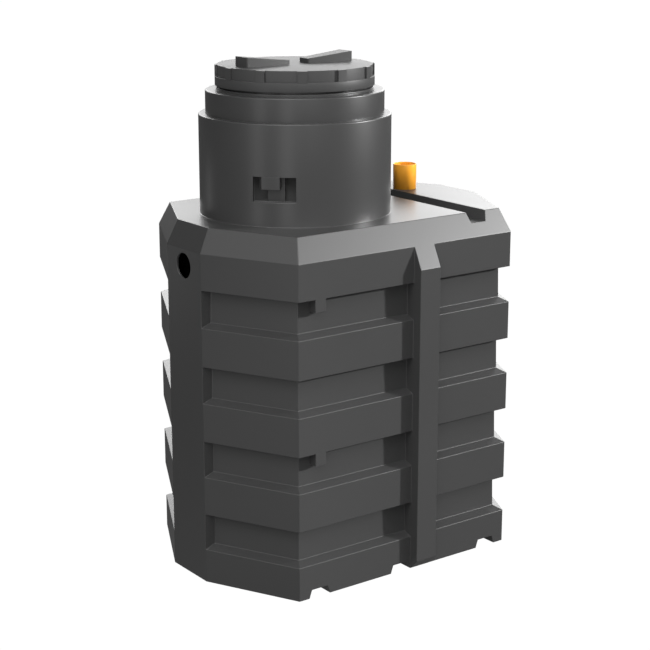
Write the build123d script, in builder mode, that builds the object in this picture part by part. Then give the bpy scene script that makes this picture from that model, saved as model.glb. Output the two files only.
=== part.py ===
"""Underground holding tank: a ribbed plastic tank with an access shaft and a lift-off lid.

Units are millimetres. The origin is on the ground under the middle of the tank,
+X runs towards the rear end, +Y towards the left side and +Z is up.
"""
from math import atan, cos, degrees, hypot, radians, sin
import os

from build123d import *

# Plan of the tank
STRAIGHT_LENGTH = 1160.0      # long side, between its two corners
TANK_WIDTH = 1098.0           # over the bands of the two long sides
END_RUN = 207.0               # how far each end stands out past the long sides
PILLAR_WIDTH = 266.0          # flat upright in the middle of each end
WALL = 10.0                   # thickness of every moulded sheet

# Bands and grooves round the walls, from the ground up
GROOVE_COUNT = 4
FIRST_BAND_TOP = 152.0
BAND_PITCH = 333.0
GROOVE_OPENING = 162.0        # height of a groove at the face of the bands
TOP_BAND_HEIGHT = 158.0       # from the last groove to the shoulder
SHOULDER_RISE = 103.0         # from the top band to the flat deck
SHOULDER_INSET = 50.0         # how far the sloping shoulder leads in
GROOVE_DEPTH = 44.0
GROOVE_DRAFT = 1.5            # the groove is this much deeper at its top than on average
LEDGE_RISE = 18.0             # slope on the top of each band

# Buttress on each long side
BUTTRESS_X = 81.0
BUTTRESS_WIDTH = 109.0
BUTTRESS_REACH = 46.0
CHEEK_FOOT = 130.0            # where the inner cheeks of buttresses and pillars start
CHEEK_COVER = 8.0             # how far a cheek reaches in past the groove

# Lugs under two of the bands
LUG_WIDTH = 54.0
LUG_HEIGHT = 56.0
LUG_FROM_CORNER = 86.0        # from the front corner to the near edge of the lug

# Channels under the floor and the strap channel across the deck
CHANNEL_WIDTH = 108.0         # at the ground
CHANNEL_CROWN = 82.0          # at the top of the channel
CHANNEL_HEIGHT = 37.0
OUTER_CHANNEL_X = 473.0
STRAP_CHANNEL_X = 411.0
STRAP_CHANNEL_WIDTH = 110.0
STRAP_CHANNEL_FLOOR = 82.0
STRAP_CHANNEL_DEPTH = 44.0

# Inlet hole and outlet pipe
INLET_RADIUS = 55.0
INLET_BELOW_SHOULDER = 73.0
PIPE_X = 537.0
PIPE_Y = 150.0
PIPE_RADIUS = 55.0
PIPE_WALL = 3.2
PIPE_HEIGHT = 117.0

# Access shaft
SHAFT_X = -205.0
SHAFT_RADIUS = 420.0
SHAFT_HEIGHT = 432.0
FOOT_COVE = 5.0               # small cove round the foot of the shaft
RIM_FILLET = 6.0              # on the top edges of the shaft and the collar
COLLAR_STEP = 31.0            # how far the collar stands in from the shaft
COLLAR_HEIGHT = 102.0
COLLAR_SHELF = 74.0           # how far the collar's top leads in to the neck
NECK_WALL = 10.0
RIM_WALL = 20.0
SEAT_HEIGHT = 10.0            # of the ring under the lid's skirt

# Lock window in the shaft
WINDOW_ANGLE = 222.6
WINDOW_WIDTH = 185.0
WINDOW_HEIGHT = 106.0
WINDOW_SILL = 106.0           # above the deck
POCKET_DEPTH = 42.0
LOCK_TAB_SHIFT = -15.0        # sideways from the middle of the window
LOCK_TAB_WIDTH = 79.0
LOCK_TAB_DROP = 53.0
LOCK_TAB_THICKNESS = 24.0
LOCK_TAB_FLARE = 15.0         # how far the tab's left flank leads out towards its back
LOCK_POST_SHIFT = 2.0
LOCK_POST_WIDTH = 75.0
LOCK_POST_DEPTH = 16.0

# Lid
LID_SKIRT_GAP = 6.0           # between the neck rim and the lid's skirt
LID_GAP = 18.0                # between the collar and the lid's skirt
LID_HEIGHT = 89.0
LID_RING_HEIGHT = 40.0        # plain lower ring of the skirt
LID_PLATE = 8.0
LID_SKIRT_WALL = 15.0
LID_REST_GAP = 0.5            # between the neck rim and the lid's plate
SEAT_INSET = 5.0              # how far the ring under the skirt stands in from it
LID_EDGE = 2.0
LUG_RING_DEPTH = 9.0          # how far the rim lugs stand out
LUG_RING_COUNT = 12
LUG_RING_WIDTH = 42.0
GRIP_INNER_RADIUS = 48.0
GRIP_OUTER_RADIUS = 277.0
GRIP_INNER_WIDTH = 68.0
GRIP_OUTER_WIDTH = 93.0
GRIP_INNER_HEIGHT = 20.0
GRIP_OUTER_HEIGHT = 43.0
GRIP_CORNER = 11.0            # on the upright corners of a grip
GRIP_EDGE = 4.0

# Worked out from the sizes above
HALF_LENGTH = STRAIGHT_LENGTH / 2
HALF_WIDTH = TANK_WIDTH / 2
END_X = HALF_LENGTH + END_RUN
HALF_PILLAR = PILLAR_WIDTH / 2
END_ANGLE = degrees(atan(END_RUN / (HALF_WIDTH - HALF_PILLAR)))
LAST_GROOVE_TOP = FIRST_BAND_TOP + GROOVE_OPENING + (GROOVE_COUNT - 1) * BAND_PITCH
SHOULDER_HEIGHT = LAST_GROOVE_TOP + TOP_BAND_HEIGHT
SHOULDER_GRADE = SHOULDER_RISE / SHOULDER_INSET
SHOULDER_SHEET = WALL * hypot(1, SHOULDER_GRADE) / SHOULDER_GRADE
DECK_HEIGHT = SHOULDER_HEIGHT + SHOULDER_RISE
PLATE_UNDERSIDE = DECK_HEIGHT - WALL
INLET_HEIGHT = SHOULDER_HEIGHT - INLET_BELOW_SHOULDER
BUTTRESS_FRONT_X = BUTTRESS_X - BUTTRESS_WIDTH / 2
BUTTRESS_REAR_X = BUTTRESS_X + BUTTRESS_WIDTH / 2
MIDDLE_CHANNEL_X = BUTTRESS_FRONT_X - CHANNEL_WIDTH / 2
CHANNEL_CENTRES = (-OUTER_CHANNEL_X, MIDDLE_CHANNEL_X, OUTER_CHANNEL_X)
SHAFT_TOP = DECK_HEIGHT + SHAFT_HEIGHT
COLLAR_TOP = SHAFT_TOP + COLLAR_HEIGHT
COLLAR_RADIUS = SHAFT_RADIUS - COLLAR_STEP
NECK_OUTER = COLLAR_RADIUS - COLLAR_SHELF
NECK_RADIUS = NECK_OUTER - NECK_WALL
RIM_OUTER = NECK_RADIUS + RIM_WALL
LID_RADIUS = RIM_OUTER + LID_SKIRT_GAP + LID_SKIRT_WALL
LID_BOTTOM = COLLAR_TOP + LID_GAP
LID_TOP = LID_BOTTOM + LID_HEIGHT
LID_PLATE_BOTTOM = LID_TOP - LID_PLATE
LID_UPPER_RADIUS = LID_RADIUS - LUG_RING_DEPTH
SHAFT_CENTRE = (SHAFT_X, 0)
REACH = END_X + HALF_WIDTH    # longer than any sheet, for cuts and trims


def inset(corner, first, second, depth):
    """Return the point where two wall planes meet after both move inwards by depth."""
    share = depth / (1 + first[0] * second[0] + first[1] * second[1])
    return (
        corner[0] + share * (first[0] + second[0]),
        corner[1] + share * (first[1] + second[1]),
    )


def outline(depth):
    """Return the corners of the tank's plan, moved inwards by depth, anticlockwise from above."""
    side_in = (0, 1)
    slant_in = (cos(radians(END_ANGLE)), sin(radians(END_ANGLE)))
    end_in = (1, 0)
    side_corner = inset((-HALF_LENGTH, -HALF_WIDTH), side_in, slant_in, depth)
    pillar_corner = inset((-END_X, -HALF_PILLAR), end_in, slant_in, depth)
    front = [pillar_corner, side_corner]
    rear = [(-x, y) for x, y in reversed(front)]
    right = front + rear
    return right + [(x, -y) for x, y in reversed(right)]


def groove_depth(height, foot, top):
    """Return the depth of a groove at a height between its foot and its top."""
    share = (height - foot) / (top - foot)
    return GROOVE_DEPTH + GROOVE_DRAFT * (2 * share - 1)


def banded_section():
    """Return the closed section of a banded wall as (depth, height) points."""
    foot_depth = GROOVE_DEPTH - GROOVE_DRAFT
    top_depth = GROOVE_DEPTH + GROOVE_DRAFT
    grade = LEDGE_RISE / foot_depth
    ledge_sheet = WALL * hypot(1, grade)
    outer = [(0, 0)]
    inner = [(WALL, 0)]
    for number in range(GROOVE_COUNT):
        band_top = FIRST_BAND_TOP + number * BAND_PITCH
        groove_top = band_top + GROOVE_OPENING
        outer += [
            (0, band_top),
            (foot_depth, band_top + LEDGE_RISE),
            (top_depth, groove_top),
            (0, groove_top),
        ]
        inner += [
            (WALL, band_top + WALL * grade - ledge_sheet),
            (foot_depth + WALL, band_top + (foot_depth + WALL) * grade - ledge_sheet),
            (top_depth + WALL, groove_top + WALL),
            (WALL, groove_top + WALL),
        ]
    return outer + shoulder_section() + list(reversed(inner))


def shoulder_section():
    """Return the section of the sloping shoulder, up its face and down its inside."""
    top_depth = (PLATE_UNDERSIDE - SHOULDER_HEIGHT) / SHOULDER_GRADE
    return [
        (0, SHOULDER_HEIGHT),
        (top_depth, PLATE_UNDERSIDE),
        (top_depth + SHOULDER_SHEET, PLATE_UNDERSIDE),
        (WALL, SHOULDER_HEIGHT - (SHOULDER_SHEET - WALL) * SHOULDER_GRADE),
    ]


def sleeve_half(wide, narrow, depth, level):
    """Return the half width over the sheet of a trapezoid channel, at a level from its mouth."""
    lean = (wide - narrow) / 2 / depth
    return wide / 2 + WALL * hypot(1, lean) - level * lean


def floor_channel(centre):
    """Return the corners of a channel under the floor as (x, height) points."""
    return [
        (centre - CHANNEL_WIDTH / 2, 0),
        (centre - CHANNEL_CROWN / 2, CHANNEL_HEIGHT),
        (centre + CHANNEL_CROWN / 2, CHANNEL_HEIGHT),
        (centre + CHANNEL_WIDTH / 2, 0),
    ]


def strap_trough():
    """Return the corners of the underside of the strap channel as (x, height) points."""
    return [
        (STRAP_CHANNEL_X - STRAP_TOP, DECK_HEIGHT),
        (STRAP_CHANNEL_X - STRAP_FLOOR, DECK_HEIGHT - STRAP_CHANNEL_DEPTH - WALL),
        (STRAP_CHANNEL_X + STRAP_FLOOR, DECK_HEIGHT - STRAP_CHANNEL_DEPTH - WALL),
        (STRAP_CHANNEL_X + STRAP_TOP, DECK_HEIGHT),
    ]


def side_plane(x, depth_direction, origin_y):
    """Return an upright plane across a long wall, x along its depth."""
    return Plane(origin=(x, origin_y, 0), x_dir=(0, depth_direction, 0), z_dir=(depth_direction, 0, 0))


SLANT_IN = Vector(cos(radians(END_ANGLE)), sin(radians(END_ANGLE)), 0)
SIDE_CORNER = (-HALF_LENGTH, -HALF_WIDTH)
PILLAR_CORNER = (-END_X, -HALF_PILLAR)
SIDE_MITRE = inset(SIDE_CORNER, (0, 1), (SLANT_IN.X, SLANT_IN.Y), REACH)
PILLAR_MITRE = inset(PILLAR_CORNER, (1, 0), (SLANT_IN.X, SLANT_IN.Y), REACH)
CHANNEL_FOOT = sleeve_half(CHANNEL_WIDTH, CHANNEL_CROWN, CHANNEL_HEIGHT, WALL)
CHANNEL_HEAD = sleeve_half(CHANNEL_WIDTH, CHANNEL_CROWN, CHANNEL_HEIGHT, CHANNEL_HEIGHT + WALL)
STRAP_TOP = sleeve_half(STRAP_CHANNEL_WIDTH, STRAP_CHANNEL_FLOOR, STRAP_CHANNEL_DEPTH, 0)
STRAP_FLOOR = sleeve_half(
    STRAP_CHANNEL_WIDTH, STRAP_CHANNEL_FLOOR, STRAP_CHANNEL_DEPTH, STRAP_CHANNEL_DEPTH + WALL
)


def cut_plane(corner, mitre):
    """Return the upright plane through a corner and its mitre, facing the right-hand side."""
    run = Vector(mitre[0] - corner[0], mitre[1] - corner[1], 0)
    return Plane(origin=(*corner, 0), x_dir=run, z_dir=run.cross(Vector(0, 0, 1)))


os.makedirs("parts", exist_ok=True)
finished = []


def finish(builder, name):
    """Label a finished piece and keep it for export."""
    builder.part.label = name
    finished.append(builder.part)


# The solid between the shoulder line and the deck trims what ends on the shoulder
with BuildPart() as frustum:
    with BuildSketch(Plane.XY.offset(SHOULDER_HEIGHT)):
        with BuildLine():
            Polyline(*outline(0), close=True)
        make_face()
    extrude(amount=SHOULDER_RISE, taper=degrees(atan(1 / SHOULDER_GRADE)))

# Floor: a sheet that steps up over the three channels
floor_under = []
floor_over = []
for centre in CHANNEL_CENTRES:
    floor_under += floor_channel(centre)
    floor_over += [
        (centre - CHANNEL_FOOT, WALL),
        (centre - CHANNEL_HEAD, CHANNEL_HEIGHT + WALL),
        (centre + CHANNEL_HEAD, CHANNEL_HEIGHT + WALL),
        (centre + CHANNEL_FOOT, WALL),
    ]
with BuildPart() as floor:
    with BuildSketch(Plane.XZ):
        with BuildLine():
            Polyline(
                (-REACH, 0), *floor_under, (REACH, 0), (REACH, WALL), *reversed(floor_over), (-REACH, WALL),
                close=True,
            )
        make_face()
    extrude(amount=REACH, both=True)
    with BuildSketch(Plane.XY):
        with BuildLine():
            Polyline(*outline(WALL), close=True)
        make_face()
    extrude(amount=SHOULDER_HEIGHT, mode=Mode.INTERSECT)
finish(floor, "floor")

# Long side walls: banded sheet in front of the buttress and behind it
for name, side, corner_keep, rib_x, rib_keep in (
    ("side_wall_front", 1, Keep.TOP, BUTTRESS_FRONT_X, Keep.BOTTOM),
    ("side_wall_rear", -1, Keep.BOTTOM, BUTTRESS_REAR_X, Keep.TOP),
):
    corner = (side * SIDE_CORNER[0], SIDE_CORNER[1])
    mitre = (side * SIDE_MITRE[0], SIDE_MITRE[1])
    with BuildPart() as side_wall:
        with BuildSketch(side_plane(0, 1, -HALF_WIDTH)):
            with BuildLine():
                Polyline(*banded_section(), close=True)
            make_face()
        extrude(amount=REACH, both=True)
        split(bisect_by=cut_plane(corner, mitre), keep=corner_keep)
        split(bisect_by=Plane.YZ.offset(rib_x), keep=rib_keep)
        with BuildSketch(Plane.XZ):
            for centre in CHANNEL_CENTRES:
                with BuildLine():
                    Polyline(*floor_channel(centre), close=True)
                make_face()
            with BuildLine():
                Polyline(*strap_trough(), close=True)
            make_face()
        extrude(amount=REACH, both=True, mode=Mode.SUBTRACT)
    finish(side_wall, "right_" + name)
    with BuildPart() as far_wall:
        mirror(side_wall.part, about=Plane.XZ)
    finish(far_wall, "left_" + name)

# Slanted walls between the long sides and the end pillars
with BuildPart() as slant_wall:
    with BuildSketch(Plane(origin=(*SIDE_CORNER, 0), x_dir=SLANT_IN, z_dir=SLANT_IN.cross(Vector(0, 0, 1)))):
        with BuildLine():
            Polyline(*banded_section(), close=True)
        make_face()
    extrude(amount=REACH, both=True)
    split(bisect_by=cut_plane(SIDE_CORNER, SIDE_MITRE), keep=Keep.BOTTOM)
    split(bisect_by=cut_plane(PILLAR_CORNER, PILLAR_MITRE), keep=Keep.TOP)
    with BuildSketch(Plane.XY):
        with BuildLine():
            Polyline(PILLAR_CORNER, (PILLAR_MITRE[0], -HALF_PILLAR), PILLAR_MITRE, close=True)
        make_face()
    extrude(amount=SHOULDER_HEIGHT, mode=Mode.SUBTRACT)
finish(slant_wall, "front_right_slant_wall")
with BuildPart() as front_left_slant:
    mirror(slant_wall.part, about=Plane.XZ)
finish(front_left_slant, "front_left_slant_wall")
with BuildPart() as rear_right_slant:
    mirror(slant_wall.part, about=Plane.YZ)
finish(rear_right_slant, "rear_right_slant_wall")
with BuildPart() as rear_left_slant:
    mirror(front_left_slant.part, about=Plane.YZ)
finish(rear_left_slant, "rear_left_slant_wall")

# Pillars: a plain upright sheet at each end
with BuildPart() as rear_pillar:
    with BuildSketch(Plane(origin=(END_X, 0, 0), x_dir=(-1, 0, 0), z_dir=(0, 1, 0))):
        with BuildLine():
            Polyline((0, 0), *shoulder_section(), (WALL, 0), close=True)
        make_face()
    extrude(amount=HALF_PILLAR, both=True)
    for side in (-1, 1):
        with BuildSketch(Plane.XY.offset(SHOULDER_HEIGHT)):
            with BuildLine():
                Polyline(
                    (-PILLAR_CORNER[0], side * HALF_PILLAR),
                    (-PILLAR_MITRE[0], side * HALF_PILLAR),
                    (-PILLAR_MITRE[0], -side * PILLAR_MITRE[1]),
                    close=True,
                )
            make_face()
        extrude(amount=SHOULDER_RISE, both=True, mode=Mode.SUBTRACT)
finish(rear_pillar, "rear_pillar")
with BuildPart() as front_pillar:
    mirror(rear_pillar.part, about=Plane.YZ)
    with BuildSketch(Plane.YZ.offset(-END_X)):
        with Locations((0, INLET_HEIGHT)):
            Circle(INLET_RADIUS)
    extrude(amount=WALL, mode=Mode.SUBTRACT)
finish(front_pillar, "front_pillar")

# Cheeks that close the ends of the grooves beside each pillar
cheek_run = (GROOVE_DEPTH + GROOVE_DRAFT + WALL) / cos(radians(END_ANGLE)) + CHEEK_COVER
with BuildPart() as rear_cheeks:
    with BuildSketch(Plane.XY.offset(CHEEK_FOOT)):
        with GridLocations(0, PILLAR_WIDTH - WALL, 1, 2):
            with Locations((END_X - WALL - cheek_run / 2, 0)):
                Rectangle(cheek_run, WALL)
    extrude(amount=LAST_GROOVE_TOP + WALL - CHEEK_FOOT)
finish(rear_cheeks, "rear_pillar_cheeks")
with BuildPart() as front_cheeks:
    mirror(rear_cheeks.part, about=Plane.YZ)
finish(front_cheeks, "front_pillar_cheeks")

# Buttresses: hollow ribs that carry the slope of the shoulder outwards
buttress_top = SHOULDER_HEIGHT - BUTTRESS_REACH * SHOULDER_GRADE
hollow_front = WALL - BUTTRESS_REACH
with BuildPart() as right_buttress:
    with BuildSketch(side_plane(BUTTRESS_X, 1, -HALF_WIDTH)):
        with BuildLine():
            Polyline(
                (WALL, 0), (0, 0), (-BUTTRESS_REACH, BUTTRESS_REACH), (-BUTTRESS_REACH, buttress_top),
                *shoulder_section(),
                close=True,
            )
        make_face()
    extrude(amount=BUTTRESS_WIDTH / 2, both=True)
    with BuildSketch(side_plane(BUTTRESS_X, 1, -HALF_WIDTH)):
        with BuildLine():
            Polyline(
                (hollow_front, hypot(WALL, WALL) - hollow_front),
                (hollow_front, SHOULDER_HEIGHT + (hollow_front - SHOULDER_SHEET) * SHOULDER_GRADE),
                (WALL, SHOULDER_HEIGHT + (WALL - SHOULDER_SHEET) * SHOULDER_GRADE),
                (WALL, hypot(WALL, WALL)),
                (0, hypot(WALL, WALL)),
                close=True,
            )
        make_face()
    extrude(amount=BUTTRESS_WIDTH / 2 - WALL, both=True, mode=Mode.SUBTRACT)
finish(right_buttress, "right_buttress")
with BuildPart() as left_buttress:
    mirror(right_buttress.part, about=Plane.XZ)
finish(left_buttress, "left_buttress")

# Cheeks that close the ends of the grooves beside each buttress
cheek_depth = GROOVE_DEPTH + GROOVE_DRAFT + CHEEK_COVER
with BuildPart() as right_cheeks:
    with BuildSketch(Plane.XY.offset(CHEEK_FOOT)):
        with Locations((BUTTRESS_X, -HALF_WIDTH + WALL + cheek_depth / 2)):
            with GridLocations(BUTTRESS_WIDTH - WALL, 0, 2, 1):
                Rectangle(WALL, cheek_depth)
    extrude(amount=LAST_GROOVE_TOP + WALL - CHEEK_FOOT)
finish(right_cheeks, "right_buttress_cheeks")
with BuildPart() as left_cheeks:
    mirror(right_cheeks.part, about=Plane.XZ)
finish(left_cheeks, "left_buttress_cheeks")

# Lugs that hang in the first and third groove from the top, by the front corners
lug_x = -HALF_LENGTH + LUG_FROM_CORNER + LUG_WIDTH / 2
for place, number in (("lower", GROOVE_COUNT - 3), ("upper", GROOVE_COUNT - 1)):
    groove_foot = FIRST_BAND_TOP + number * BAND_PITCH + LEDGE_RISE
    groove_top = FIRST_BAND_TOP + number * BAND_PITCH + GROOVE_OPENING
    lug_foot = groove_top - LUG_HEIGHT
    with BuildPart() as right_lug:
        with BuildSketch(side_plane(lug_x, 1, -HALF_WIDTH)):
            with BuildLine():
                Polyline(
                    (0, lug_foot),
                    (groove_depth(lug_foot, groove_foot, groove_top), lug_foot),
                    (groove_depth(groove_top, groove_foot, groove_top), groove_top),
                    (0, groove_top),
                    close=True,
                )
            make_face()
        extrude(amount=LUG_WIDTH / 2, both=True)
    finish(right_lug, "right_" + place + "_lug")
    with BuildPart() as left_lug:
        mirror(right_lug.part, about=Plane.XZ)
    finish(left_lug, "left_" + place + "_lug")

# Deck plates in front of the strap channel and behind it
with BuildPart() as front_deck:
    with BuildSketch(Plane.XY.offset(PLATE_UNDERSIDE)):
        Rectangle(2 * REACH, 2 * REACH)
        with Locations((STRAP_CHANNEL_X - STRAP_TOP + REACH, 0)):
            Rectangle(2 * REACH, 2 * REACH, mode=Mode.SUBTRACT)
        with Locations(SHAFT_CENTRE):
            Circle(NECK_RADIUS, mode=Mode.SUBTRACT)
    extrude(amount=WALL)
    add(frustum.part, mode=Mode.INTERSECT)
finish(front_deck, "front_deck")
with BuildPart() as rear_deck:
    with BuildSketch(Plane.XY.offset(PLATE_UNDERSIDE)):
        Rectangle(2 * REACH, 2 * REACH)
        with Locations((STRAP_CHANNEL_X + STRAP_TOP - REACH, 0)):
            Rectangle(2 * REACH, 2 * REACH, mode=Mode.SUBTRACT)
        with Locations((PIPE_X, PIPE_Y)):
            Circle(PIPE_RADIUS - PIPE_WALL, mode=Mode.SUBTRACT)
    extrude(amount=WALL)
    add(frustum.part, mode=Mode.INTERSECT)
finish(rear_deck, "rear_deck")

# Strap channel: a trough across the deck, open on both shoulders
with BuildPart() as strap_channel:
    with BuildSketch(Plane.XZ):
        with BuildLine():
            Polyline(
                *strap_trough(),
                (STRAP_CHANNEL_X + STRAP_CHANNEL_WIDTH / 2, DECK_HEIGHT),
                (STRAP_CHANNEL_X + STRAP_CHANNEL_FLOOR / 2, DECK_HEIGHT - STRAP_CHANNEL_DEPTH),
                (STRAP_CHANNEL_X - STRAP_CHANNEL_FLOOR / 2, DECK_HEIGHT - STRAP_CHANNEL_DEPTH),
                (STRAP_CHANNEL_X - STRAP_CHANNEL_WIDTH / 2, DECK_HEIGHT),
                close=True,
            )
        make_face()
    extrude(amount=REACH, both=True)
    add(frustum.part, mode=Mode.INTERSECT)
finish(strap_channel, "strap_channel")

# Outlet pipe standing on the rear deck
with BuildPart() as outlet_pipe:
    with BuildSketch(Plane.XY.offset(DECK_HEIGHT)):
        with Locations((PIPE_X, PIPE_Y)):
            Circle(PIPE_RADIUS)
            Circle(PIPE_RADIUS - PIPE_WALL, mode=Mode.SUBTRACT)
    extrude(amount=PIPE_HEIGHT)
finish(outlet_pipe, "outlet_pipe")

# Access shaft: the inner neck, the outer shaft and the narrower collar on it
with BuildPart() as neck:
    with BuildSketch(Plane.XY.offset(DECK_HEIGHT)):
        with Locations(SHAFT_CENTRE):
            Circle(NECK_OUTER)
            Circle(NECK_RADIUS, mode=Mode.SUBTRACT)
    extrude(amount=COLLAR_TOP - DECK_HEIGHT)
finish(neck, "neck")

window_plane = Plane(
    origin=(SHAFT_X, 0, DECK_HEIGHT + WINDOW_SILL),
    x_dir=(-sin(radians(WINDOW_ANGLE)), cos(radians(WINDOW_ANGLE)), 0),
    z_dir=(cos(radians(WINDOW_ANGLE)), sin(radians(WINDOW_ANGLE)), 0),
)
half_window = WINDOW_WIDTH / 2
pocket_back = (SHAFT_RADIUS ** 2 - half_window ** 2) ** 0.5 - POCKET_DEPTH
with BuildPart() as shaft:
    with BuildSketch(Plane(origin=(SHAFT_X, 0, DECK_HEIGHT), x_dir=(1, 0, 0), z_dir=(0, -1, 0))):
        with BuildLine():
            RadiusArc((SHAFT_RADIUS + FOOT_COVE, 0), (SHAFT_RADIUS, FOOT_COVE), FOOT_COVE)
            Polyline(
                (SHAFT_RADIUS, FOOT_COVE),
                (SHAFT_RADIUS, SHAFT_HEIGHT),
                (SHAFT_RADIUS - WALL, SHAFT_HEIGHT),
                (SHAFT_RADIUS - WALL, 0),
                (SHAFT_RADIUS + FOOT_COVE, 0),
            )
        make_face()
    revolve(axis=Axis((SHAFT_X, 0, 0), (0, 0, 1)))
    top_rims = shaft.edges().filter_by(GeomType.CIRCLE).group_by(Axis.Z)[-1]
    fillet(top_rims.sort_by(SortBy.RADIUS)[-1], RIM_FILLET)
    with BuildSketch(window_plane.offset(pocket_back)):
        with Locations((0, WINDOW_HEIGHT / 2)):
            Rectangle(WINDOW_WIDTH, WINDOW_HEIGHT)
    extrude(amount=SHAFT_RADIUS, mode=Mode.SUBTRACT)
finish(shaft, "shaft")
with BuildPart() as shaft_ledge:
    with BuildSketch(Plane.XY.offset(SHAFT_TOP - WALL)):
        with Locations(SHAFT_CENTRE):
            Circle(SHAFT_RADIUS - WALL)
            Circle(COLLAR_RADIUS - WALL, mode=Mode.SUBTRACT)
    extrude(amount=WALL)
finish(shaft_ledge, "shaft_ledge")

with BuildPart() as collar:
    with BuildSketch(Plane.XY.offset(SHAFT_TOP)):
        with Locations(SHAFT_CENTRE):
            Circle(COLLAR_RADIUS)
            Circle(COLLAR_RADIUS - WALL, mode=Mode.SUBTRACT)
    extrude(amount=COLLAR_HEIGHT)
    top_rims = collar.edges().filter_by(GeomType.CIRCLE).group_by(Axis.Z)[-1]
    fillet(top_rims.sort_by(SortBy.RADIUS)[-1], RIM_FILLET)
finish(collar, "collar")
with BuildPart() as collar_ledge:
    with BuildSketch(Plane.XY.offset(COLLAR_TOP - WALL)):
        with Locations(SHAFT_CENTRE):
            Circle(COLLAR_RADIUS - WALL)
            Circle(NECK_OUTER, mode=Mode.SUBTRACT)
    extrude(amount=WALL)
finish(collar_ledge, "collar_ledge")

with BuildPart() as lid_seat:
    with BuildSketch(Plane.XY.offset(COLLAR_TOP)):
        with Locations(SHAFT_CENTRE):
            Circle(LID_RADIUS - SEAT_INSET)
            Circle(RIM_OUTER, mode=Mode.SUBTRACT)
    extrude(amount=SEAT_HEIGHT)
    top_rims = lid_seat.edges().filter_by(GeomType.CIRCLE).group_by(Axis.Z)[-1]
    fillet(top_rims.sort_by(SortBy.RADIUS)[-1], LID_EDGE)
finish(lid_seat, "lid_seat")

with BuildPart() as neck_rim:
    with BuildSketch(Plane.XY.offset(COLLAR_TOP)):
        with Locations(SHAFT_CENTRE):
            Circle(RIM_OUTER)
            Circle(NECK_RADIUS, mode=Mode.SUBTRACT)
    extrude(amount=LID_PLATE_BOTTOM - LID_REST_GAP - COLLAR_TOP)
finish(neck_rim, "neck_rim")

# Lock pocket behind the window, with its hanging tab and the post behind it
with BuildPart() as lock_pocket:
    with BuildSketch(window_plane.offset(pocket_back - WALL)):
        with Locations((0, WINDOW_HEIGHT / 2)):
            Rectangle(WINDOW_WIDTH + 2 * WALL, WINDOW_HEIGHT + 2 * WALL)
    extrude(amount=SHAFT_RADIUS)
    with BuildSketch(Plane.XY):
        with Locations(SHAFT_CENTRE):
            Circle(SHAFT_RADIUS - WALL)
    extrude(amount=SHAFT_TOP, mode=Mode.INTERSECT)
    with BuildSketch(window_plane.offset(pocket_back)):
        with Locations((0, WINDOW_HEIGHT / 2)):
            Rectangle(WINDOW_WIDTH, WINDOW_HEIGHT)
    extrude(amount=SHAFT_RADIUS, mode=Mode.SUBTRACT)
finish(lock_pocket, "lock_pocket")

tab_left = LOCK_TAB_SHIFT - LOCK_TAB_WIDTH / 2
tab_right = LOCK_TAB_SHIFT + LOCK_TAB_WIDTH / 2
tab_front = (SHAFT_RADIUS ** 2 - tab_left ** 2) ** 0.5
tab_back = tab_front - LOCK_TAB_THICKNESS
tab_plane = Plane(
    origin=window_plane.origin + Vector(0, 0, WINDOW_HEIGHT - LOCK_TAB_DROP),
    x_dir=window_plane.x_dir,
    z_dir=(0, 0, 1),
)
with BuildPart() as lock_tab:
    with BuildSketch(tab_plane):
        with BuildLine():
            Polyline(
                (tab_left, -SHAFT_RADIUS),
                (tab_left, -tab_front),
                (tab_left - LOCK_TAB_FLARE, -tab_back),
                (tab_right, -tab_back),
                (tab_right, -SHAFT_RADIUS),
                close=True,
            )
        make_face()
        Circle(SHAFT_RADIUS, mode=Mode.INTERSECT)
    extrude(amount=LOCK_TAB_DROP)
finish(lock_tab, "lock_tab")

with BuildPart() as lock_post:
    with BuildSketch(window_plane.offset(pocket_back)):
        with Locations((LOCK_POST_SHIFT, WINDOW_HEIGHT / 2)):
            Rectangle(LOCK_POST_WIDTH, WINDOW_HEIGHT)
    extrude(amount=LOCK_POST_DEPTH)
finish(lock_post, "lock_post")

# Lid: plate, skirt, rim lugs and two wedge grips
with BuildPart() as lid_plate:
    with BuildSketch(Plane.XY.offset(LID_PLATE_BOTTOM)):
        with Locations(SHAFT_CENTRE):
            Circle(LID_UPPER_RADIUS)
    extrude(amount=LID_PLATE)
    chamfer(lid_plate.faces().sort_by(Axis.Z)[-1].edges(), LID_EDGE)
finish(lid_plate, "lid_plate")

with BuildPart() as lid_skirt:
    with BuildSketch(Plane.XY.offset(LID_BOTTOM)):
        with Locations(SHAFT_CENTRE):
            Circle(LID_RADIUS)
            Circle(LID_RADIUS - LID_SKIRT_WALL, mode=Mode.SUBTRACT)
    extrude(amount=LID_RING_HEIGHT)
    with BuildSketch(Plane.XY.offset(LID_BOTTOM + LID_RING_HEIGHT)):
        with Locations(SHAFT_CENTRE):
            Circle(LID_UPPER_RADIUS)
            Circle(LID_RADIUS - LID_SKIRT_WALL, mode=Mode.SUBTRACT)
    extrude(amount=LID_PLATE_BOTTOM - LID_BOTTOM - LID_RING_HEIGHT)
finish(lid_skirt, "lid_skirt")

with BuildPart() as lid_lugs:
    with BuildSketch(Plane.XY.offset(LID_BOTTOM + LID_RING_HEIGHT)):
        with Locations(SHAFT_CENTRE):
            with PolarLocations(LID_UPPER_RADIUS, LUG_RING_COUNT):
                Rectangle(2 * LUG_RING_DEPTH, LUG_RING_WIDTH)
            Circle(LID_RADIUS, mode=Mode.INTERSECT)
            Circle(LID_UPPER_RADIUS, mode=Mode.SUBTRACT)
    extrude(amount=LID_TOP - LID_EDGE - LID_BOTTOM - LID_RING_HEIGHT)
finish(lid_lugs, "lid_lugs")

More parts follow.
